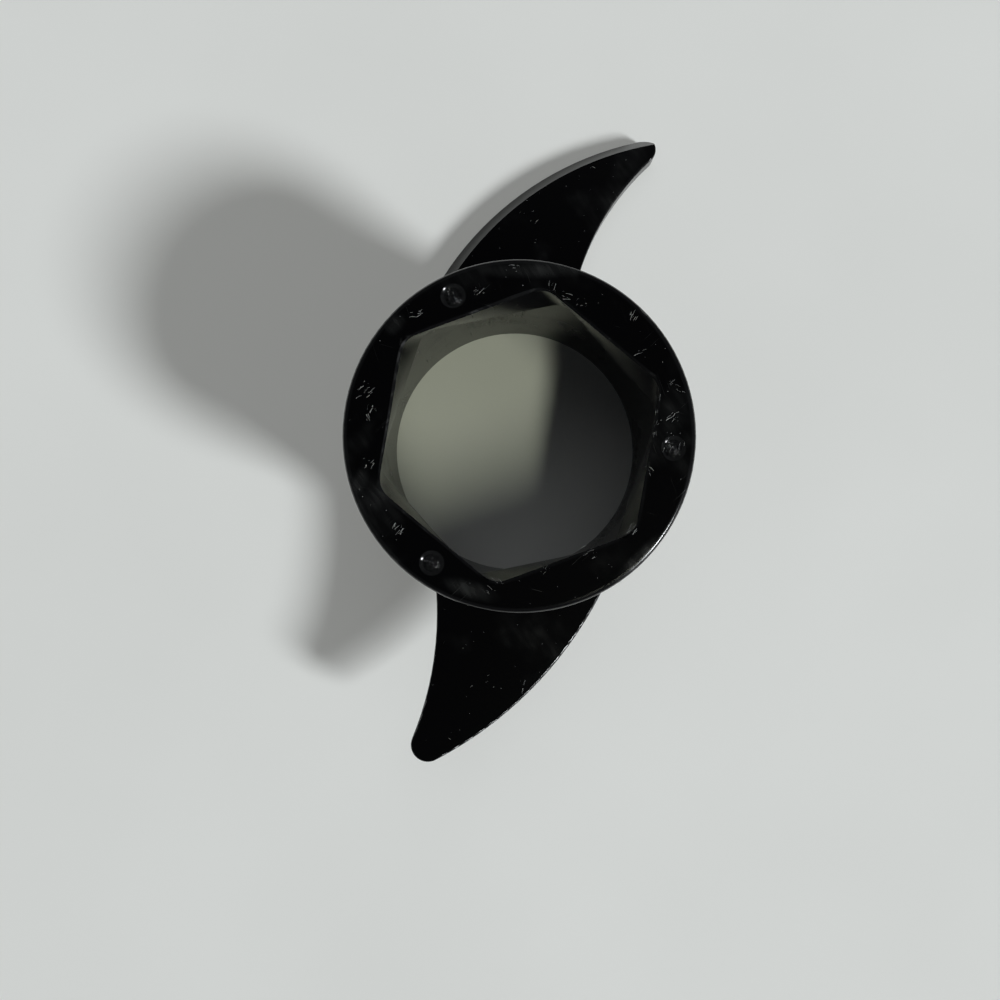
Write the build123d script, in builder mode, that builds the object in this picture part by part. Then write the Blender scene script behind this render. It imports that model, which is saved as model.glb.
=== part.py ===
"""Dough blade: one plastic moulding with a round hub, a twisted hexagonal opening and two swept arms.

Millimetres, +Z up. The origin is on the hub's axis, in the plane of the rim that it stands on.
Seen from above, the low arm reaches towards +Y and the high arm towards -Y.
"""
import math
import os

from build123d import *

os.makedirs("parts", exist_ok=True)

# Hub: a plain tube under a round flange
hub_height = 41.0
hub_radius = 28.6
wall_thickness = 2.1
rim_round = 0.5

# Flange: the thick top edge of the hub
flange_overhang = 1.7
flange_thickness = 3.0
flange_round = 1.0

# Hexagonal opening: a collar at the top of the tube that takes the drive; it turns clockwise going down
collar_lip = 4.2
hex_corner_angle = 20.6
hex_depth = 7.0
hex_twist = 9.0
hex_corner_round = 4.0
hex_edge_bevel = 0.35

# Gate marks: shallow dishes in the flange where the moulding was fed, each with a stub
gate_count = 3
gate_first_angle = 115.4
gate_dish_radius = 2.15
gate_dish_depth = 0.7
gate_stub_radius = 1.3
gate_stub_height = 0.35

# Arms: crescents with an arc on each side and a cove at the root; the low one has a bevelled leading edge
arm_thickness = 4.2
arm_edge_round = 0.4
arm_root_cove = 0.8
bevel_width = 2.5
bevel_drop = 3.2

# Low arm: sweeps just above the rim's plane
low_arm_base = 0.6
low_tip_reach = 80.05
low_tip_angle = 61.2
low_tip_round = 3.0
low_lead_radius = 68.3
low_lead_angle = 164.0
low_trail_radius = 56.7
low_trail_angle = 65.0

# High arm: at half the hub's height, on the other side
high_arm_base = 15.2
high_tip_reach = 71.2
high_tip_angle = 249.5
high_tip_round = 3.4
high_lead_radius = 77.0
high_lead_angle = 323.0
high_trail_radius = 65.3
high_trail_angle = 232.0

# Dependent sizes
bore_radius = hub_radius - wall_thickness
hex_apothem = bore_radius - collar_lip
flange_radius = hub_radius + flange_overhang
collar_bottom = hub_height - hex_depth
flange_bottom = hub_height - flange_thickness
arm_root_radius = (hub_radius + bore_radius) / 2
gate_circle_radius = (flange_radius + hex_apothem) / 2
gate_ball_radius = (gate_dish_radius**2 + gate_dish_depth**2) / (2 * gate_dish_depth)

STUB_ALIGN = (Align.CENTER, Align.CENTER, Align.MIN)


def polar(radius, angle):
    """Point at a radius and an angle in degrees round the hub's axis."""
    return Vector(radius, 0).rotate(Axis.Z, angle)


def swept_arm(
    base, tip_reach, tip_angle, tip_round, lead_radius, lead_angle, trail_radius, trail_angle, bevelled
):
    """Crescent plate from the hub's axis to its rounded tip, with rounded edges or a bevelled leading one."""
    top = base + arm_thickness
    tip = polar(tip_reach, tip_angle)
    lead_root = polar(arm_root_radius, lead_angle)
    trail_root = polar(arm_root_radius, trail_angle)
    with BuildPart() as arm:
        with BuildSketch(Plane.XY.offset(base)):
            with BuildLine():
                lead = RadiusArc(lead_root, tip, lead_radius)
                trail = RadiusArc(tip, trail_root, -trail_radius)
                Polyline(trail_root, (0, 0), lead_root)
            outline = make_face()
            fillet(outline.vertices().sort_by_distance((tip.X, tip.Y, base))[0], tip_round)
        extrude(amount=arm_thickness)
        rounded_edges = arm.edges().filter_by(GeomType.CIRCLE)
        if bevelled:
            center = lead.arc_center
            bevel_plane = Plane((center.X, center.Y, top), x_dir=(1, 0, 0), z_dir=(0, -1, 0))
            with BuildSketch(bevel_plane):
                with BuildLine():
                    Polyline(
                        (lead_radius - bevel_width, 0),
                        (lead_radius, -bevel_drop),
                        (lead_radius + bevel_width, 0),
                        close=True,
                    )
                make_face()
            revolve(axis=Axis((center.X, center.Y, 0), (0, 0, 1)), mode=Mode.SUBTRACT)
            trail_middle = trail @ 0.5 + Vector(0, 0, base + arm_thickness / 2)
            trailing_wall = arm.faces().sort_by_distance(trail_middle)[0]
            rounded_edges = trailing_wall.edges().filter_by(GeomType.CIRCLE)
        fillet(rounded_edges, arm_edge_round)
    return arm.part


def root_cove(flat, direction):
    """Hollow round where the flat of an arm meets the tube; it goes up the tube for 1 and down for -1."""
    level = flat.center().Z
    rise = direction * arm_root_cove
    bow = 1 - math.sqrt(0.5)
    with BuildPart() as cove:
        with BuildSketch(Plane.XZ):
            with BuildLine():
                Polyline(
                    (hub_radius + arm_root_cove, level),
                    (arm_root_radius, level),
                    (arm_root_radius, level + rise),
                    (hub_radius, level + rise),
                )
                ThreePointArc(
                    (hub_radius, level + rise),
                    (hub_radius + bow * arm_root_cove, level + bow * rise),
                    (hub_radius + arm_root_cove, level),
                )
            make_face()
        revolve(axis=Axis.Z)
        extrude(flat, amount=arm_root_cove, dir=(0, 0, direction), mode=Mode.INTERSECT)
    return cove.part


low_arm = swept_arm(
    low_arm_base,
    low_tip_reach,
    low_tip_angle,
    low_tip_round,
    low_lead_radius,
    low_lead_angle,
    low_trail_radius,
    low_trail_angle,
    bevelled=True,
)
high_arm = swept_arm(
    high_arm_base,
    high_tip_reach,
    high_tip_angle,
    high_tip_round,
    high_lead_radius,
    high_lead_angle,
    high_trail_radius,
    high_trail_angle,
    bevelled=False,
)

with BuildPart() as dough_blade:
    # Tube and flange
    with BuildSketch():
        Circle(hub_radius)
    extrude(amount=flange_bottom)
    fillet(dough_blade.edges().group_by(Axis.Z)[0], rim_round)
    with BuildSketch(Plane.XY.offset(flange_bottom)):
        Circle(flange_radius)
    extrude(amount=flange_thickness)
    fillet(dough_blade.edges().group_by(Axis.Z)[-1], flange_round)

    # Arms, which run into the tube wall, with coves on the flats that have room for one
    add(low_arm)
    add(high_arm)
    add(root_cove(low_arm.faces().sort_by(Axis.Z)[-1], 1))
    add(root_cove(high_arm.faces().sort_by(Axis.Z)[-1], 1))
    add(root_cove(high_arm.faces().sort_by(Axis.Z)[0], -1))

    # Round bore, up to the underside of the collar
    with BuildSketch():
        Circle(bore_radius)
    extrude(amount=collar_bottom, mode=Mode.SUBTRACT)

    # Hexagonal opening through the collar, lofted between its turned lower end and its upper one
    with BuildSketch(Plane.XY.offset(collar_bottom)) as hex_lower_end:
        RegularPolygon(hex_apothem, 6, major_radius=False, rotation=hex_corner_angle - hex_twist)
        fillet(hex_lower_end.vertices(), hex_corner_round)
    with BuildSketch(Plane.XY.offset(hub_height)) as hex_upper_end:
        RegularPolygon(hex_apothem, 6, major_radius=False, rotation=hex_corner_angle)
        fillet(hex_upper_end.vertices(), hex_corner_round)
    loft(ruled=True, mode=Mode.SUBTRACT)
    top_face = dough_blade.faces().sort_by(Axis.Z)[-1]
    chamfer(top_face.inner_wires()[0].edges(), hex_edge_bevel)

    # Gate marks on the flange
    with Locations(Plane.XY.offset(hub_height)):
        with PolarLocations(gate_circle_radius, gate_count, gate_first_angle):
            with Locations((0, 0, gate_ball_radius - gate_dish_depth)):
                Sphere(gate_ball_radius, mode=Mode.SUBTRACT)
            with Locations((0, 0, -gate_dish_depth)):
                Cylinder(gate_stub_radius, gate_stub_height, align=STUB_ALIGN)

dough_blade.part.label = "dough_blade"
export_step(dough_blade.part, "parts/dough_blade.step")
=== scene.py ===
"""Picture scene of the dough blade: gloss black plastic on a pale floor, seen from straight above."""

import math

import bpy
from mathutils import Matrix, Vector


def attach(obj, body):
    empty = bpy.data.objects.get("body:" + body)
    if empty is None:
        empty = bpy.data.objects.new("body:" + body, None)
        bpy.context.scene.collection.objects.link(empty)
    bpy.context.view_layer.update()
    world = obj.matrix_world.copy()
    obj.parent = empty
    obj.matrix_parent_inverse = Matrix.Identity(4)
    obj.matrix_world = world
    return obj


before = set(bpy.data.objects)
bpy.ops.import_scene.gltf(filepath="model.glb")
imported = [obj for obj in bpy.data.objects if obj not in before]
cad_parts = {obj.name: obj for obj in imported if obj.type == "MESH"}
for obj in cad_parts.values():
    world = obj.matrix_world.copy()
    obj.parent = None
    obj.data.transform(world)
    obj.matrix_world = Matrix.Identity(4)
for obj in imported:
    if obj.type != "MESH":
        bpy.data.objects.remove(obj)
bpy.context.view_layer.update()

MM = 0.001
BODY = "root"
SEED = 11

# Sizes of the moulding
HUB_TOP = 41.0 * MM
FLANGE_RADIUS = 30.3 * MM
BORE_RADIUS = 26.5 * MM
HEX_APOTHEM = 22.3 * MM
HEX_CORNER_ANGLE = math.radians(20.6)
HEX_SIDE_TURN = math.radians(60)
HEX_SIDE_PAIRS = 3
LOW_ARM_TOP = 4.8 * MM
HIGH_ARM_TOP = 19.4 * MM

# Gate marks: the dishes in the flange and the skin of torn plastic that lies in them
GATE_COUNT = 3
GATE_FIRST_ANGLE = math.radians(115.4)
GATE_CIRCLE_RADIUS = 26.3 * MM
GATE_DISH_RADIUS = 2.15 * MM
GATE_DISH_DEPTH = 0.7 * MM
GATE_DISH_POWER = 3.0
GATE_STUB_RADIUS = 1.3 * MM
GATE_STUB_HEIGHT = 0.35 * MM
GATE_RING_PITCH = 0.42 * MM
GATE_RING_HEIGHT = 0.055 * MM
GATE_TEAR_HEIGHT = 0.45 * MM
GATE_TEAR_SCALE = 1800.0
GATE_TEAR_LEVEL = 0.45
GATE_SKIN = 0.06 * MM
GATE_ROWS_OUT = 81
GATE_ROWS_ROUND = 121
GATE_MERGE = 0.001 * MM

# Scuffs on the flange: x, y, turn in degrees, number of strokes, and spread; lengths in millimetres
FLANGE_SCUFFS = [
    (5.4, 25.2, 70, 8, 0.9),
    (7.8, 24.1, -20, 8, 1.0),
    (10.6, 22.8, 30, 7, 0.8),
    (19.5, 20.5, 60, 8, 0.6),
    (20.5, 14.2, 15, 6, 0.9),
    (25.4, 9.3, 45, 6, 0.7),
    (27.4, 7.8, -35, 6, 0.8),
    (26.1, 3.4, 40, 14, 0.9),
    (26.3, -1.0, 75, 16, 1.8),
    (22.6, -6.3, -50, 6, 0.7),
    (19.2, -15.9, 45, 12, 0.9),
    (12.1, -20.3, 20, 9, 1.5),
    (4.0, -22.8, 65, 6, 0.8),
    (-4.2, -25.7, -30, 12, 1.4),
    (-26.0, 7.8, 35, 14, 1.5),
    (-25.1, 4.9, 80, 8, 0.8),
    (-26.1, 2.9, 110, 6, 0.6),
    (-25.4, -5.0, 60, 6, 0.8),
    (-20.7, -15.7, 55, 10, 0.9),
    (-6.9, 24.6, 25, 6, 0.8),
    (-17.7, 20.9, 20, 6, 0.9),
    (-0.9, 28.5, 0, 4, 0.7),
    (23.6, 6.2, 80, 4, 0.4),
    (23.5, 4.2, 80, 4, 0.4),
    (23.3, 2.2, 80, 4, 0.4),
    (23.1, 0.4, 80, 4, 0.4),
]

# Scuffs on the arms: the same, with the level of the arm's top after x and y
ARM_SCUFFS = [
    (3.3, 50.2, LOW_ARM_TOP, 40, 4, 2.0),
    (17.0, 62.0, LOW_ARM_TOP, -30, 4, 3.0),
    (-7.3, -46.7, HIGH_ARM_TOP, 20, 4, 2.0),
    (-0.3, -48.7, HIGH_ARM_TOP, 75, 4, 2.0),
    (-12.2, -58.6, HIGH_ARM_TOP, -40, 3, 1.5),
]

# Strokes of the scuffs: start, middle and end of each bow in shares of the length, and the taper
SCUFF_STROKES = [
    ((-0.5, 0.0, 0.0), (0.0, 0.02, 0.0), (0.5, 0.0, 0.0)),
    ((-0.5, 0.0, 0.0), (0.0, 0.14, 0.0), (0.5, 0.0, 0.0)),
    ((-0.3, 0.0, 0.0), (0.0, -0.05, 0.0), (0.3, 0.02, 0.0)),
    ((-0.1, 0.0, 0.0), (0.0, 0.02, 0.0), (0.1, 0.0, 0.0)),
]
SCUFF_LENGTH = 0.95 * MM
SCUFF_WIDTH = 0.017 * MM
SCUFF_SIDES = 4
SCUFF_STEPS = 8
SCUFF_TAPER = 3.6
SCUFF_END = 0.1
SCUFF_STRAY = 0.35
SCUFF_SMALLEST = 0.2
SCUFF_LARGEST = 1.3

# Dust on the faces that look up: specks per square metre, and their sizes
DUST_DENSITY = 45000.0
DUST_RADIUS = 0.05 * MM
DUST_SMALLEST = (0.4, 0.4, 0.3)
DUST_LARGEST = (1.5, 1.2, 0.6)
DUST_SEED = SEED + 7
UPWARD = 0.98

# Hairlines: turn in degrees, width, length, noise level where one starts, and shift of its patches;
# lengths in millimetres
HAIRLINES = [
    (20, 0.12, 16.0, 0.74, 20.0),
    (75, 0.15, 22.0, 0.75, 75.0),
    (133, 0.12, 18.0, 0.74, 133.0),
]
HAIRLINE_FADE = 0.05
PATCH_SCALE = 170.0

# Smudges on the flange: x, y, turn in degrees, half length and half width; lengths in millimetres
SMUDGES = [
    (-8.4, -26.2, -18.0, 6.0, 2.0),
    (-27.0, -7.5, 70.0, 3.0, 1.6),
    (-21.2, 18.9, 45.0, 2.6, 1.8),
    (20.5, -20.8, 45.0, 7.0, 1.6),
    (2.0, 28.2, 0.0, 12.0, 1.8),
]
SMUDGE_DEPTH = 1.0 * MM
FILM_SCALE = 62.0
STREAK_TURN = 35
STREAK_SIZE = (1.1 * MM, 6.0 * MM, 6.0 * MM)
STREAK_SHARE = 0.6
GRAIN_SCALE = 900.0

# Rubbed edges
HEX_RUB_APOTHEM = HEX_APOTHEM + 0.2 * MM
RIM_RUB_SHARE = 0.35
RUB_SCALE = 320.0

# Masks: the value at which each is 0 and the value at which it is 1
PATCH_MASK = (0.54, 0.72)
HUB_MASK = (FLANGE_RADIUS + 0.6 * MM, FLANGE_RADIUS + 0.3 * MM)
FILM_MASK = (0.50, 0.80)
SMUDGE_MASK = (1.0, 0.1)
STREAK_MASK = (0.40, 0.70)
HEX_RUB_MASK = (0.30 * MM, 0.05 * MM)
RIM_RUB_MASK = (FLANGE_RADIUS - 0.8 * MM, FLANGE_RADIUS)
NEAR_TOP_MASK = (HUB_TOP - 0.9 * MM, HUB_TOP - 0.2 * MM)
WORN_MASK = (0.50, 0.72)
BELOW_TOP_MASK = (HUB_TOP - 0.3 * MM, HUB_TOP - 0.5 * MM)
WITHIN_BORE_MASK = (BORE_RADIUS + 0.6 * MM, BORE_RADIUS + 0.3 * MM)
MOTTLE_MASK = (0.36, 0.64)
STUB_MASK = (0.16, 0.0)
CLOUD_MASK = (0.3, 0.7)
SKY_TOP_MASK = (0.80, 0.96)

# Colours
BLACK = (0.0008, 0.0008, 0.0010, 1.0)
FILM_GREY = (0.024, 0.025, 0.026, 1.0)
RUBBED_GREY = (0.22, 0.23, 0.23, 1.0)
SCUFF_GREY = (0.46, 0.47, 0.47, 1.0)
SCUFF_DARK = (0.10, 0.10, 0.105, 1.0)
TORN_GREY = (0.0030, 0.0031, 0.0033, 1.0)
FLOOR_PALE = (0.64, 0.645, 0.625, 1.0)
FLOOR_SHADE = (0.605, 0.61, 0.59, 1.0)
# Painted light: the colour of the even glow on the open floor, standing in for room light that lifts the
# shadow beside the hub
FLOOR_PAINTED_GLOW = (0.168, 0.169, 0.160, 1.0)
SKY_TOP = (0.007, 0.007, 0.008, 1.0)
SKY_EDGE = (0.105, 0.11, 0.115, 1.0)
COOL_WHITE = (0.95, 0.98, 1.0)
WARM_WHITE = (0.96, 1.0, 0.80)

# Gloss black plastic: what each mark adds to its colour, roughness and bump
PLASTIC_IOR = 1.40
PLASTIC_ROUGHNESS = 0.16
FILM_TINT = 0.4
FILM_ROUGHNESS = 0.22
HAIRLINE_TINT = 0.02
HAIRLINE_ROUGHNESS = 0.2
RUBBED_TINT = 0.04
RUBBED_ROUGHNESS = 0.15
INSIDE_ROUGHNESS = 0.06
GRAIN_HEIGHT = 0.5
PLASTIC_BUMP = 0.12
PLASTIC_BUMP_HEIGHT = 0.02 * MM

# Scuffed and torn plastic
SCUFF_ROUGHNESS = 0.45
SCUFF_ROUGHNESS_SPAN = 0.3
SCUFF_BUMP = 0.3
SCUFF_BUMP_HEIGHT = 0.05 * MM
TORN_SCALE = 1400.0
TORN_ROUGHNESS = 0.22

# Floor, in two pieces that meet under the tube's wall, so that each has its own light: the open one has
# painted light, an even glow, and the one inside the bore has none, so it keeps only the lamps' light and
# stays dark in the tube's shade
FLOOR_RADIUS = 1.5
FLOOR_SPLIT = 27.5 * MM
FLOOR_SIDES = 128
FLOOR_ROUGHNESS = 0.75
CLOUD_SCALE = 9.0

# Lights: direction to the light, width, length, power, colour, and whether it only shows in gloss
LOW_FROM = (61.0, -36.0, 41.0)
HIGH_FROM = (15.2, -17.0, 41.0)
FILL_FROM = (0.0, 0.5, 0.87)
LIGHT_DISTANCE = 8.0
LIGHTS = {
    "low_light": (LOW_FROM, 1.55, 1.55, 780.0, COOL_WHITE, False),
    "low_glint": (LOW_FROM, 1.10, 1.10, 1050.0, COOL_WHITE, True),
    "high_light": (HIGH_FROM, 0.75, 4.45, 257.5, WARM_WHITE, False),
    "high_glint": (HIGH_FROM, 0.55, 0.55, 75.0, WARM_WHITE, True),
    "fill_light": (FILL_FROM, 7.50, 7.50, 57.5, COOL_WHITE, False),
}

# Camera
CAMERA_PLACE = (-3.301 * MM, -10.925 * MM, 168.623 * MM)
CAMERA_LENS = 27.0
CAMERA_SENSOR = 36.0
CAMERA_NEAR = 0.01


def add_node(tree, kind, inputs=None, **settings):
    """New node with its settings, and with a value or a link for each input that is given."""
    node = tree.nodes.new(kind)
    for name, value in settings.items():
        setattr(node, name, value)
    for key, value in (inputs or {}).items():
        if isinstance(value, bpy.types.NodeSocket):
            tree.links.new(value, node.inputs[key])
        else:
            node.inputs[key].default_value = value
    return node


def math_node(tree, operation, first, second=None, clamp=False):
    """Output of a math node on values or sockets."""
    inputs = {0: first}
    if second is not None:
        inputs[1] = second
    return add_node(tree, "ShaderNodeMath", inputs, operation=operation, use_clamp=clamp).outputs[0]


def total(tree, first, second, clamp=False):
    """Sum of two values or sockets."""
    return math_node(tree, "ADD", first, second, clamp)


def difference(tree, first, second):
    """First value or socket less the second."""
    return math_node(tree, "SUBTRACT", first, second)


def product(tree, first, second):
    """Product of two values or sockets."""
    return math_node(tree, "MULTIPLY", first, second)


def larger(tree, first, second):
    """Larger of two values or sockets."""
    return math_node(tree, "MAXIMUM", first, second)


def vector_node(tree, operation, output, first, second=None):
    """Named output of a vector math node on vectors or sockets."""
    inputs = {0: first}
    if second is not None:
        inputs[1] = second
    return add_node(tree, "ShaderNodeVectorMath", inputs, operation=operation).outputs[output]


def flat_place(tree, place):
    """Place without its height."""
    return vector_node(tree, "MULTIPLY", "Vector", place, (1.0, 1.0, 0.0))


def length_of(tree, vector):
    """Length of a vector."""
    return vector_node(tree, "LENGTH", "Value", vector)


def local_place(tree, place, turn, size, middle=(0.0, 0.0, 0.0)):
    """Place from a middle, turned by degrees about the vertical and measured in shares of a size."""
    return add_node(
        tree,
        "ShaderNodeMapping",
        {"Vector": place, "Location": middle, "Rotation": (0.0, 0.0, math.radians(turn)), "Scale": size},
        vector_type="TEXTURE",
    ).outputs[0]


def ramp(tree, value, low, high):
    """Output that rises smoothly from 0 at the low value to 1 at the high one."""
    return add_node(
        tree,
        "ShaderNodeMapRange",
        {"Value": value, "From Min": low, "From Max": high},
        interpolation_type="SMOOTHSTEP",
    ).outputs["Result"]


def mix_colour(tree, factor, first, second):
    """Colour mix; a Mix node takes its two colours at inputs 6 and 7 and gives their mix at output 2."""
    return add_node(tree, "ShaderNodeMix", {0: factor, 6: first, 7: second}, data_type="RGBA").outputs[2]


def noise(tree, place, scale, detail=2.0, roughness=0.5):
    """Value of a noise texture at a place."""
    return add_node(
        tree,
        "ShaderNodeTexNoise",
        {"Vector": place, "Scale": scale, "Detail": detail, "Roughness": roughness},
    ).outputs["Fac"]


def new_group(name, outputs):
    """Shader node group with a place as its input; returns the tree, the place and the output node."""
    tree = bpy.data.node_groups.new(name, "ShaderNodeTree")
    tree.interface.new_socket("Place", in_out="INPUT", socket_type="NodeSocketVector")
    for output in outputs:
        tree.interface.new_socket(output, in_out="OUTPUT", socket_type="NodeSocketFloat")
    start = tree.nodes.new("NodeGroupInput")
    return tree, start.outputs["Place"], tree.nodes.new("NodeGroupOutput")


def scratch_group():
    """Sparse hairline scratches on the hub, each direction in its own patches."""
    tree, place, end = new_group("hairline_scratches", ["Mask"])
    lines = 0.0
    for turn, width, length, level, shift in HAIRLINES:
        along = local_place(tree, place, turn, (width * MM, length * MM, length * MM))
        line = ramp(tree, noise(tree, along, 1.0, detail=0.0), level, level + HAIRLINE_FADE)
        moved = vector_node(tree, "ADD", "Vector", place, (shift * MM, 0.0, 0.0))
        patches = ramp(tree, noise(tree, moved, PATCH_SCALE), *PATCH_MASK)
        lines = larger(tree, lines, product(tree, line, patches))
    on_hub = ramp(tree, length_of(tree, flat_place(tree, place)), *HUB_MASK)
    tree.links.new(product(tree, lines, on_hub), end.inputs["Mask"])
    return tree


def film_group():
    """Soft smudges from handling, with finer streaks in them, and a fine grain."""
    tree, place, end = new_group("handling_film", ["Mask", "Grain"])
    film = ramp(tree, noise(tree, place, FILM_SCALE, detail=3.0, roughness=0.6), *FILM_MASK)
    for x, y, turn, length, width in SMUDGES:
        size = (length * MM, width * MM, SMUDGE_DEPTH)
        local = local_place(tree, place, turn, size, middle=(x * MM, y * MM, HUB_TOP))
        smudge = ramp(tree, length_of(tree, local), *SMUDGE_MASK)
        film = total(tree, film, smudge, clamp=True)
    along = local_place(tree, place, STREAK_TURN, STREAK_SIZE)
    streaks = ramp(tree, noise(tree, along, 1.0), *STREAK_MASK)
    streaks = total(tree, product(tree, streaks, STREAK_SHARE), 1.0 - STREAK_SHARE)
    tree.links.new(product(tree, film, streaks), end.inputs["Mask"])
    tree.links.new(noise(tree, place, GRAIN_SCALE, detail=3.0), end.inputs["Grain"])
    return tree


def rub_group():
    """Rubbed edges of the hexagonal opening and the flange, and the satin walls inside the hub."""
    tree, place, end = new_group("rubbed_edges", ["Mask", "Inside"])
    height = add_node(tree, "ShaderNodeSeparateXYZ", {0: place}).outputs["Z"]
    flat = flat_place(tree, place)
    reach = length_of(tree, flat)
    across = 0.0
    for pair in range(HEX_SIDE_PAIRS):
        angle = HEX_CORNER_ANGLE + HEX_SIDE_TURN * (pair + 0.5)
        outward = (math.cos(angle), math.sin(angle), 0.0)
        from_axis = vector_node(tree, "DOT_PRODUCT", "Value", flat, outward)
        across = larger(tree, across, math_node(tree, "ABSOLUTE", from_axis))
    from_hex = math_node(tree, "ABSOLUTE", difference(tree, across, HEX_RUB_APOTHEM))
    near_top = ramp(tree, height, *NEAR_TOP_MASK)
    hex_edge = product(tree, ramp(tree, from_hex, *HEX_RUB_MASK), near_top)
    rim = product(tree, ramp(tree, reach, *RIM_RUB_MASK), near_top)
    edges = larger(tree, hex_edge, product(tree, rim, RIM_RUB_SHARE))
    worn = ramp(tree, noise(tree, place, RUB_SCALE, detail=4.0, roughness=0.65), *WORN_MASK)
    tree.links.new(product(tree, edges, worn), end.inputs["Mask"])
    below = ramp(tree, height, *BELOW_TOP_MASK)
    within = ramp(tree, reach, *WITHIN_BORE_MASK)
    tree.links.new(product(tree, below, within), end.inputs["Inside"])
    return tree


def new_material(name):
    """Material with a plain Principled surface; returns it, its tree, the surface and the place."""
    material = bpy.data.materials.new(name)
    material.use_nodes = True
    tree = material.node_tree
    tree.nodes.clear()
    surface = tree.nodes.new("ShaderNodeBsdfPrincipled")
    end = tree.nodes.new("ShaderNodeOutputMaterial")
    tree.links.new(surface.outputs[0], end.inputs["Surface"])
    place = tree.nodes.new("ShaderNodeTexCoord").outputs["Object"]
    return material, tree, surface, place


def use_group(tree, group, place):
    """Outputs of a shader node group at a place."""
    return add_node(tree, "ShaderNodeGroup", {"Place": place}, node_tree=group).outputs


def add_bump(tree, surface, height, strength, distance):
    """Bumps a surface by a height."""
    bump = add_node(
        tree,
        "ShaderNodeBump",
        {"Height": height, "Strength": strength, "Distance": distance},
    )
    tree.links.new(bump.outputs["Normal"], surface.inputs["Normal"])


def black_plastic(scratches, film, rubs):
    """Gloss black plastic with hairlines, handling film and rubbed edges."""
    material, tree, surface, place = new_material("gloss_black_plastic")
    hairlines = use_group(tree, scratches, place)["Mask"]
    haze = use_group(tree, film, place)
    rubs_here = use_group(tree, rubs, place)
    rubbed = rubs_here["Mask"]
    colour = mix_colour(tree, product(tree, haze["Mask"], FILM_TINT), BLACK, FILM_GREY)
    colour = mix_colour(tree, product(tree, hairlines, HAIRLINE_TINT), colour, RUBBED_GREY)
    colour = mix_colour(tree, product(tree, rubbed, RUBBED_TINT), colour, RUBBED_GREY)
    tree.links.new(colour, surface.inputs["Base Color"])
    dull = total(tree, product(tree, haze["Mask"], FILM_ROUGHNESS), PLASTIC_ROUGHNESS)
    dull = total(tree, dull, product(tree, rubbed, RUBBED_ROUGHNESS))
    dull = total(tree, dull, product(tree, rubs_here["Inside"], INSIDE_ROUGHNESS))
    dull = total(tree, dull, product(tree, hairlines, HAIRLINE_ROUGHNESS), clamp=True)
    tree.links.new(dull, surface.inputs["Roughness"])
    surface.inputs["IOR"].default_value = PLASTIC_IOR
    height = difference(tree, product(tree, haze["Grain"], GRAIN_HEIGHT), hairlines)
    add_bump(tree, surface, height, PLASTIC_BUMP, PLASTIC_BUMP_HEIGHT)
    return material


def scuffed_plastic():
    """Rough broken plastic in two mixed greys, for scuffs and dust."""
    material, tree, surface, place = new_material("scuffed_plastic")
    grain = noise(tree, place, GRAIN_SCALE, detail=4.0, roughness=0.6)
    colour = mix_colour(tree, ramp(tree, grain, *MOTTLE_MASK), SCUFF_DARK, SCUFF_GREY)
    tree.links.new(colour, surface.inputs["Base Color"])
    dull = total(tree, product(tree, grain, SCUFF_ROUGHNESS_SPAN), SCUFF_ROUGHNESS, clamp=True)
    tree.links.new(dull, surface.inputs["Roughness"])
    add_bump(tree, surface, grain, SCUFF_BUMP, SCUFF_BUMP_HEIGHT)
    return material


def torn_plastic():
    """Bright broken plastic in two near blacks, for the gates."""
    material, tree, surface, place = new_material("torn_plastic")
    grain = noise(tree, place, TORN_SCALE)
    colour = mix_colour(tree, ramp(tree, grain, *MOTTLE_MASK), BLACK, TORN_GREY)
    tree.links.new(colour, surface.inputs["Base Color"])
    tree.links.new(product(tree, grain, TORN_ROUGHNESS), surface.inputs["Roughness"])
    return material


def floor_paper(name, glow):
    """Pale matt floor with a faint cloud of tone, and painted light: an even glow that stands in for the
    light of a bright room.
    """
    material, tree, surface, place = new_material(name)
    cloud = ramp(tree, noise(tree, place, CLOUD_SCALE, detail=3.0), *CLOUD_MASK)
    tree.links.new(mix_colour(tree, cloud, FLOOR_SHADE, FLOOR_PALE), surface.inputs["Base Color"])
    surface.inputs["Roughness"].default_value = FLOOR_ROUGHNESS
    surface.inputs["Specular IOR Level"].default_value = 0.0
    # Painted light: the floor glows evenly where the glow is on
    surface.inputs["Emission Color"].default_value = FLOOR_PAINTED_GLOW
    surface.inputs["Emission Strength"].default_value = glow
    return material


def link(thing):
    """Puts an object in the scene."""
    bpy.context.scene.collection.objects.link(thing)
    return thing


def point_mesh(name, points, **attributes):
    """Mesh of loose points with one value per point for each attribute."""
    mesh = bpy.data.meshes.new(name)
    mesh.from_pydata(points, [], [])
    for label, values in attributes.items():
        kind = "INT" if isinstance(values[0], int) else "FLOAT"
        mesh.attributes.new(label, kind, "POINT").data.foreach_set("value", values)
    return mesh


def new_nodes(name, inputs):
    """Geometry node tree with named inputs; returns the tree, its input sockets and its output node."""
    tree = bpy.data.node_groups.new(name, "GeometryNodeTree")
    tree.interface.new_socket("Geometry", in_out="INPUT", socket_type="NodeSocketGeometry")
    for label, kind in inputs.items():
        tree.interface.new_socket(label, in_out="INPUT", socket_type="NodeSocket" + kind)
    tree.interface.new_socket("Geometry", in_out="OUTPUT", socket_type="NodeSocketGeometry")
    return tree, tree.nodes.new("NodeGroupInput").outputs, tree.nodes.new("NodeGroupOutput")


def finish_nodes(tree, geometry, material, end):
    """Ends a tree with plain geometry in one material."""
    plain = add_node(tree, "GeometryNodeRealizeInstances", {"Geometry": geometry}).outputs[0]
    painted = add_node(
        tree,
        "GeometryNodeSetMaterial",
        {"Geometry": plain, "Material": material},
    ).outputs[0]
    tree.links.new(painted, end.inputs["Geometry"])


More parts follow.
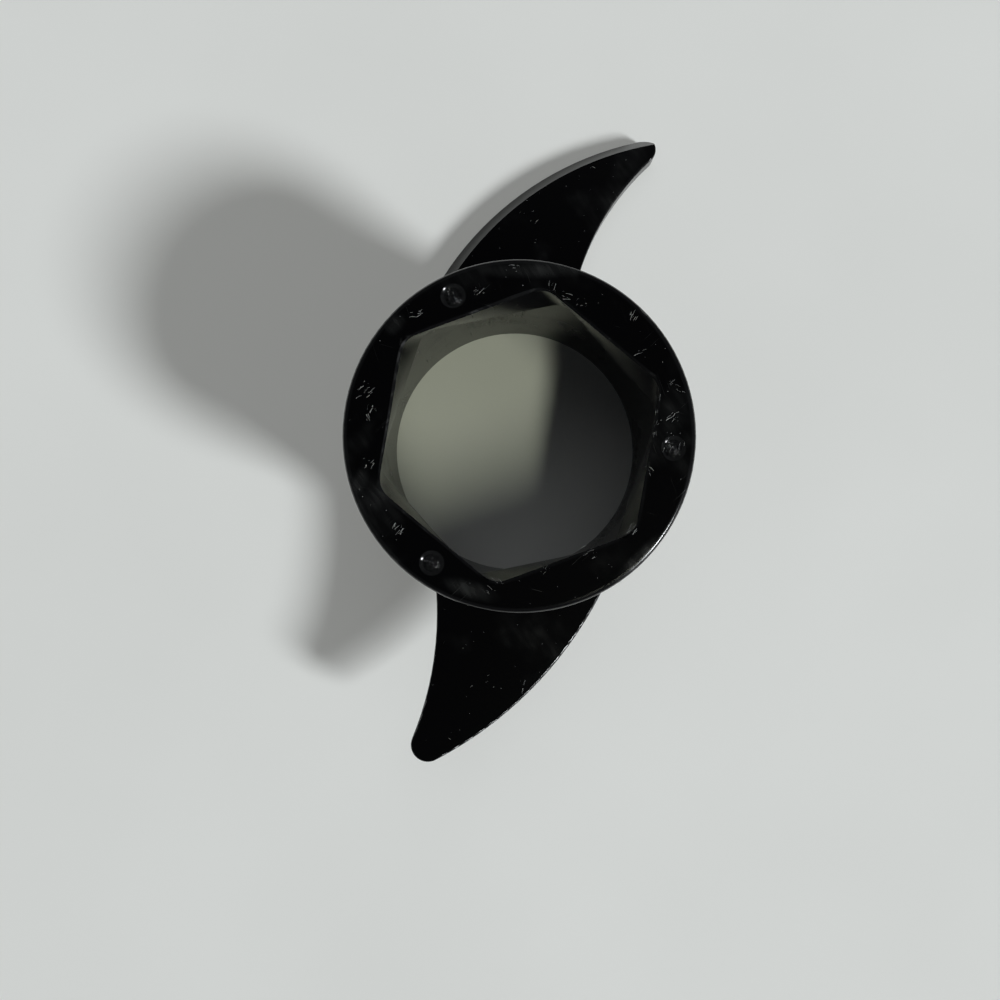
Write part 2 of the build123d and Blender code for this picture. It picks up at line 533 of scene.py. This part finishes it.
def grown_piece(name, mesh, tree, values):
    """Plain mesh piece that a geometry node tree makes from a mesh."""
    carrier = link(bpy.data.objects.new(name + "_carrier", mesh))
    modifier = carrier.modifiers.new("nodes", "NODES")
    modifier.node_group = tree
    for item in tree.interface.items_tree:
        if item.in_out == "INPUT" and item.name in values:
            modifier[item.identifier] = values[item.name]
    depsgraph = bpy.context.evaluated_depsgraph_get()
    grown = bpy.data.meshes.new_from_object(carrier.evaluated_get(depsgraph), depsgraph=depsgraph)
    grown.name = name
    bpy.data.objects.remove(carrier)
    piece = link(bpy.data.objects.new(name, grown))
    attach(piece, BODY)


def point_value(tree, name, kind):
    """Value that each point of the mesh holds under a name."""
    return add_node(
        tree,
        "GeometryNodeInputNamedAttribute",
        {"Name": name},
        data_type=kind,
    ).outputs["Attribute"]


def random_value(tree, kind, low, high, seed):
    """Output of a random value per element."""
    node = add_node(tree, "FunctionNodeRandomValue", {"Seed": seed}, data_type=kind)
    lowest, highest = [socket for socket in node.inputs if socket.enabled][:2]
    lowest.default_value = low
    highest.default_value = high
    return [socket for socket in node.outputs if socket.enabled][0]


def turn_upright(tree, angle):
    """Rotation by an angle about the vertical."""
    turned = add_node(tree, "ShaderNodeCombineXYZ", {"Z": angle}).outputs[0]
    return add_node(tree, "FunctionNodeEulerToRotation", {0: turned}).outputs[0]


def scuff_tree():
    """Short tapered burrs that run roughly one way; each point holds their count, spread and turn."""
    tree, given, end = new_nodes(
        "scuff_clusters",
        {"Burr Length": "Float", "Burr Width": "Float", "Seed": "Int", "Material": "Material"},
    )
    seed = given["Seed"]
    many = add_node(
        tree,
        "GeometryNodeDuplicateElements",
        {"Geometry": given["Geometry"], "Amount": point_value(tree, "count", "INT")},
        domain="POINT",
    ).outputs["Geometry"]
    away = random_value(tree, "FLOAT_VECTOR", (-1.0, -1.0, 0.0), (1.0, 1.0, 0.0), seed)
    step = add_node(
        tree,
        "ShaderNodeVectorMath",
        {0: away, "Scale": point_value(tree, "spread", "FLOAT")},
        operation="SCALE",
    ).outputs["Vector"]
    placed = add_node(tree, "GeometryNodeSetPosition", {"Geometry": many, "Offset": step}).outputs[0]
    along = add_node(tree, "GeometryNodeSplineParameter").outputs["Factor"]
    bow = product(tree, along, difference(tree, 1.0, along))
    taper = total(tree, product(tree, bow, SCUFF_TAPER), SCUFF_END)
    profile = add_node(
        tree,
        "GeometryNodeCurvePrimitiveCircle",
        {"Resolution": SCUFF_SIDES, "Radius": given["Burr Width"]},
        mode="RADIUS",
    ).outputs["Curve"]
    length = given["Burr Length"]
    size = add_node(tree, "ShaderNodeCombineXYZ", {"X": length, "Y": length, "Z": length}).outputs[0]
    shapes = tree.nodes.new("GeometryNodeGeometryToInstance")
    for start, middle, stop in SCUFF_STROKES:
        curve = add_node(
            tree,
            "GeometryNodeCurveQuadraticBezier",
            {"Resolution": SCUFF_STEPS, "Start": start, "Middle": middle, "End": stop},
        ).outputs[0]
        sized = add_node(tree, "GeometryNodeTransform", {"Geometry": curve, "Scale": size}).outputs[0]
        tapered = add_node(
            tree,
            "GeometryNodeSetCurveRadius",
            {"Curve": sized, "Radius": taper},
        ).outputs[0]
        solid = add_node(
            tree,
            "GeometryNodeCurveToMesh",
            {"Curve": tapered, "Profile Curve": profile, "Fill Caps": True},
        ).outputs[0]
        tree.links.new(solid, shapes.inputs[0])
    stray = random_value(tree, "FLOAT", -SCUFF_STRAY, SCUFF_STRAY, total(tree, seed, 1.0))
    turn = total(tree, point_value(tree, "turn", "FLOAT"), stray)
    scattered = add_node(
        tree,
        "GeometryNodeInstanceOnPoints",
        {
            "Points": placed,
            "Instance": shapes.outputs[0],
            "Pick Instance": True,
            "Rotation": turn_upright(tree, turn),
            "Scale": random_value(tree, "FLOAT", SCUFF_SMALLEST, SCUFF_LARGEST, total(tree, seed, 2.0)),
        },
    ).outputs[0]
    finish_nodes(tree, scattered, given["Material"], end)
    return tree


def speck_tree():
    """Fine specks scattered over the faces of a mesh."""
    tree, given, end = new_nodes(
        "fine_specks",
        {"Density": "Float", "Speck Radius": "Float", "Seed": "Int", "Material": "Material"},
    )
    seed = given["Seed"]
    spots = add_node(
        tree,
        "GeometryNodeDistributePointsOnFaces",
        {"Mesh": given["Geometry"], "Density": given["Density"], "Seed": seed},
        distribute_method="RANDOM",
    ).outputs["Points"]
    grain = add_node(
        tree,
        "GeometryNodeMeshIcoSphere",
        {"Radius": given["Speck Radius"], "Subdivisions": 1},
    ).outputs[0]
    size = random_value(tree, "FLOAT_VECTOR", DUST_SMALLEST, DUST_LARGEST, total(tree, seed, 1.0))
    turn = random_value(tree, "FLOAT", 0.0, math.tau, total(tree, seed, 2.0))
    scattered = add_node(
        tree,
        "GeometryNodeInstanceOnPoints",
        {
            "Points": spots,
            "Instance": grain,
            "Rotation": turn_upright(tree, turn),
            "Scale": size,
        },
    ).outputs[0]
    finish_nodes(tree, scattered, given["Material"], end)
    return tree


def torn_gate_tree():
    """Gate mark on each point: a smooth dish with a torn, ringed stub in its middle."""
    tree, given, end = new_nodes(
        "torn_gates",
        {
            "Dish Radius": "Float",
            "Dish Depth": "Float",
            "Stub Radius": "Float",
            "Stub Height": "Float",
            "Ring Pitch": "Float",
            "Ring Height": "Float",
            "Tear Height": "Float",
            "Skin": "Float",
            "Seed": "Int",
            "Material": "Material",
        },
    )

    # Sheet whose rows become the reach from the middle and the angle round it
    sheet = add_node(
        tree,
        "GeometryNodeMeshGrid",
        {"Size X": 1.0, "Size Y": 1.0, "Vertices X": GATE_ROWS_OUT, "Vertices Y": GATE_ROWS_ROUND},
    ).outputs["Mesh"]
    on_sheet = add_node(tree, "GeometryNodeInputPosition").outputs[0]
    parts = add_node(tree, "ShaderNodeSeparateXYZ", {0: on_sheet})
    reach = product(tree, total(tree, parts.outputs["X"], 0.5), given["Dish Radius"])
    angle = product(tree, total(tree, parts.outputs["Y"], 0.5), math.tau)

    # Height of the dish, and of the ringed stub where the sheet is torn
    share = math_node(tree, "DIVIDE", reach, given["Dish Radius"])
    bowl = difference(tree, math_node(tree, "POWER", share, GATE_DISH_POWER), 1.0)
    bowl = product(tree, bowl, difference(tree, given["Dish Depth"], given["Skin"]))
    rings = math_node(tree, "DIVIDE", reach, given["Ring Pitch"])
    wave = math_node(tree, "SINE", product(tree, rings, math.tau))
    stub = product(tree, wave, given["Ring Height"])
    stub = total(tree, stub, difference(tree, given["Stub Height"], given["Dish Depth"]))
    past = difference(tree, math_node(tree, "DIVIDE", reach, given["Stub Radius"]), 1.0)
    torn = ramp(tree, past, *STUB_MASK)
    step = product(tree, difference(tree, stub, bowl), torn)
    level = total(tree, total(tree, bowl, step), given["Skin"])
    round_place = add_node(
        tree,
        "ShaderNodeCombineXYZ",
        {
            "X": product(tree, reach, math_node(tree, "COSINE", angle)),
            "Y": product(tree, reach, math_node(tree, "SINE", angle)),
            "Z": level,
        },
    ).outputs[0]
    marked = add_node(
        tree,
        "GeometryNodeStoreNamedAttribute",
        {"Geometry": sheet, "Name": "torn", "Value": torn},
        data_type="FLOAT",
        domain="POINT",
    ).outputs[0]
    dish = add_node(
        tree,
        "GeometryNodeSetPosition",
        {"Geometry": marked, "Position": round_place},
    ).outputs[0]
    joined = add_node(
        tree,
        "GeometryNodeMergeByDistance",
        {"Geometry": dish, "Distance": GATE_MERGE},
    ).outputs[0]
    smooth = add_node(tree, "GeometryNodeSetShadeSmooth", {"Geometry": joined}).outputs[0]

    # One gate on each point, then the lumps of its torn part
    turn = random_value(tree, "FLOAT", 0.0, math.tau, given["Seed"])
    gates = add_node(
        tree,
        "GeometryNodeInstanceOnPoints",
        {"Points": given["Geometry"], "Instance": smooth, "Rotation": turn_upright(tree, turn)},
    ).outputs[0]
    plain = add_node(tree, "GeometryNodeRealizeInstances", {"Geometry": gates}).outputs[0]
    place = add_node(tree, "GeometryNodeInputPosition").outputs[0]
    lumps = noise(tree, place, GATE_TEAR_SCALE, detail=3.0)
    lift = product(tree, difference(tree, lumps, GATE_TEAR_LEVEL), given["Tear Height"])
    lift = product(tree, lift, point_value(tree, "torn", "FLOAT"))
    away = add_node(tree, "ShaderNodeCombineXYZ", {"Z": lift}).outputs[0]
    rough = add_node(tree, "GeometryNodeSetPosition", {"Geometry": plain, "Offset": away}).outputs[0]
    finish_nodes(tree, rough, given["Material"], end)
    return tree


def polar(radius, angle, height):
    """Point at a radius and an angle round the hub's axis."""
    return (radius * math.cos(angle), radius * math.sin(angle), height)


def upward_faces(name, thing):
    """Mesh of a thing's faces that look straight up."""
    mesh = thing.data
    corners = [tuple(vertex.co) for vertex in mesh.vertices]
    faces = [tuple(face.vertices) for face in mesh.polygons if face.normal.z > UPWARD]
    kept = sorted({corner for face in faces for corner in face})
    order = {old: new for new, old in enumerate(kept)}
    patch = bpy.data.meshes.new(name)
    patch.from_pydata(
        [corners[corner] for corner in kept],
        [],
        [[order[corner] for corner in face] for face in faces],
    )
    return patch


def floor_circle(radius):
    """Corners of a circle on the floor."""
    return [polar(radius, math.tau * side / FLOOR_SIDES, 0.0) for side in range(FLOOR_SIDES)]


def floor_piece(name, corners, faces, glow):
    """Flat piece of the floor."""
    mesh = bpy.data.meshes.new(name)
    mesh.from_pydata(corners, [], faces)
    mesh.materials.append(floor_paper(name, glow))
    piece = link(bpy.data.objects.new(name, mesh))
    return piece


def soft_light(name, direction, width, length, power, colour, gloss_only):
    """Oval light that looks at the origin from a direction, with its length towards +Y."""
    lamp = bpy.data.lights.new(name, "AREA")
    lamp.shape = "ELLIPSE"
    lamp.size = width
    lamp.size_y = length
    lamp.energy = power
    lamp.color = colour
    toward = Vector(direction).normalized()
    across = Vector((0.0, 1.0, 0.0)).cross(toward).normalized()
    along = toward.cross(across)
    turn = Matrix((across, along, toward)).transposed().to_4x4()
    thing = link(bpy.data.objects.new(name, lamp))
    thing.matrix_world = Matrix.Translation(toward * LIGHT_DISTANCE) @ turn
    thing.visible_glossy = gloss_only
    thing.visible_diffuse = not gloss_only


# Main moulding
moulding = bpy.data.objects["dough_blade"]
plastic = black_plastic(scratch_group(), film_group(), rub_group())
for material_slot in moulding.material_slots:
    material_slot.material = plastic

# Torn gates in the three dishes
gate_angles = [GATE_FIRST_ANGLE + math.tau * gate / GATE_COUNT for gate in range(GATE_COUNT)]
gate_points = [polar(GATE_CIRCLE_RADIUS, angle, HUB_TOP) for angle in gate_angles]
grown_piece(
    "torn_gates",
    point_mesh("gate_points", gate_points),
    torn_gate_tree(),
    {
        "Dish Radius": GATE_DISH_RADIUS,
        "Dish Depth": GATE_DISH_DEPTH,
        "Stub Radius": GATE_STUB_RADIUS,
        "Stub Height": GATE_STUB_HEIGHT,
        "Ring Pitch": GATE_RING_PITCH,
        "Ring Height": GATE_RING_HEIGHT,
        "Tear Height": GATE_TEAR_HEIGHT,
        "Skin": GATE_SKIN,
        "Seed": SEED,
        "Material": torn_plastic(),
    },
)

# Scuffs on the flange and the arms
scuffs = [(x, y, HUB_TOP, turn, count, spread) for x, y, turn, count, spread in FLANGE_SCUFFS]
scuffs += ARM_SCUFFS
scuff_points = point_mesh(
    "scuff_points",
    [(x * MM, y * MM, level) for x, y, level, turn, count, spread in scuffs],
    count=[count for x, y, level, turn, count, spread in scuffs],
    spread=[spread * MM for x, y, level, turn, count, spread in scuffs],
    turn=[math.radians(turn) for x, y, level, turn, count, spread in scuffs],
)
scuffed = scuffed_plastic()
grown_piece(
    "scuff_marks",
    scuff_points,
    scuff_tree(),
    {"Burr Length": SCUFF_LENGTH, "Burr Width": SCUFF_WIDTH, "Seed": SEED, "Material": scuffed},
)

# Dust on the faces that look up
grown_piece(
    "dust_specks",
    upward_faces("upward_faces", moulding),
    speck_tree(),
    {"Density": DUST_DENSITY, "Speck Radius": DUST_RADIUS, "Seed": DUST_SEED, "Material": scuffed},
)

# Floor: an open ring with a painted glow that stands in for room light, and the round inside the bore
# without it, so that it keeps only the lamps' light and stays dark in the tube's shade
ring_faces = []
for side in range(FLOOR_SIDES):
    after = (side + 1) % FLOOR_SIDES
    ring_faces.append((side, FLOOR_SIDES + side, FLOOR_SIDES + after, after))
floor = floor_piece("floor", floor_circle(FLOOR_SPLIT) + floor_circle(FLOOR_RADIUS), ring_faces, glow=1.0)
floor_piece("floor_in_bore", floor_circle(FLOOR_SPLIT), [tuple(range(FLOOR_SIDES))], glow=0.0)

# Lights; the high one stays off the open floor
for light_name, light_facts in LIGHTS.items():
    soft_light(light_name, *light_facts)
open_floor = bpy.data.collections.new("open_floor")
open_floor.objects.link(floor)
open_floor.collection_objects[0].light_linking.link_state = "EXCLUDE"
bpy.data.objects["high_light"].light_linking.receiver_collection = open_floor

# Sky: dim overhead, paler at the edge
world = bpy.data.worlds.new("studio")
bpy.context.scene.world = world
world.use_nodes = True
sky = world.node_tree
background = sky.nodes["Background"]
looking = sky.nodes.new("ShaderNodeTexCoord").outputs["Generated"]
upness = add_node(sky, "ShaderNodeSeparateXYZ", {0: looking}).outputs["Z"]
sky_colour = mix_colour(sky, ramp(sky, upness, *SKY_TOP_MASK), SKY_EDGE, SKY_TOP)
sky.links.new(sky_colour, background.inputs["Color"])

# Camera
lens = bpy.data.cameras.new("camera")
lens.lens = CAMERA_LENS
lens.sensor_width = CAMERA_SENSOR
lens.clip_start = CAMERA_NEAR
camera = link(bpy.data.objects.new("camera", lens))
camera.location = CAMERA_PLACE
bpy.context.scene.camera = camera
bpy.context.scene.view_settings.view_transform = "Standard"
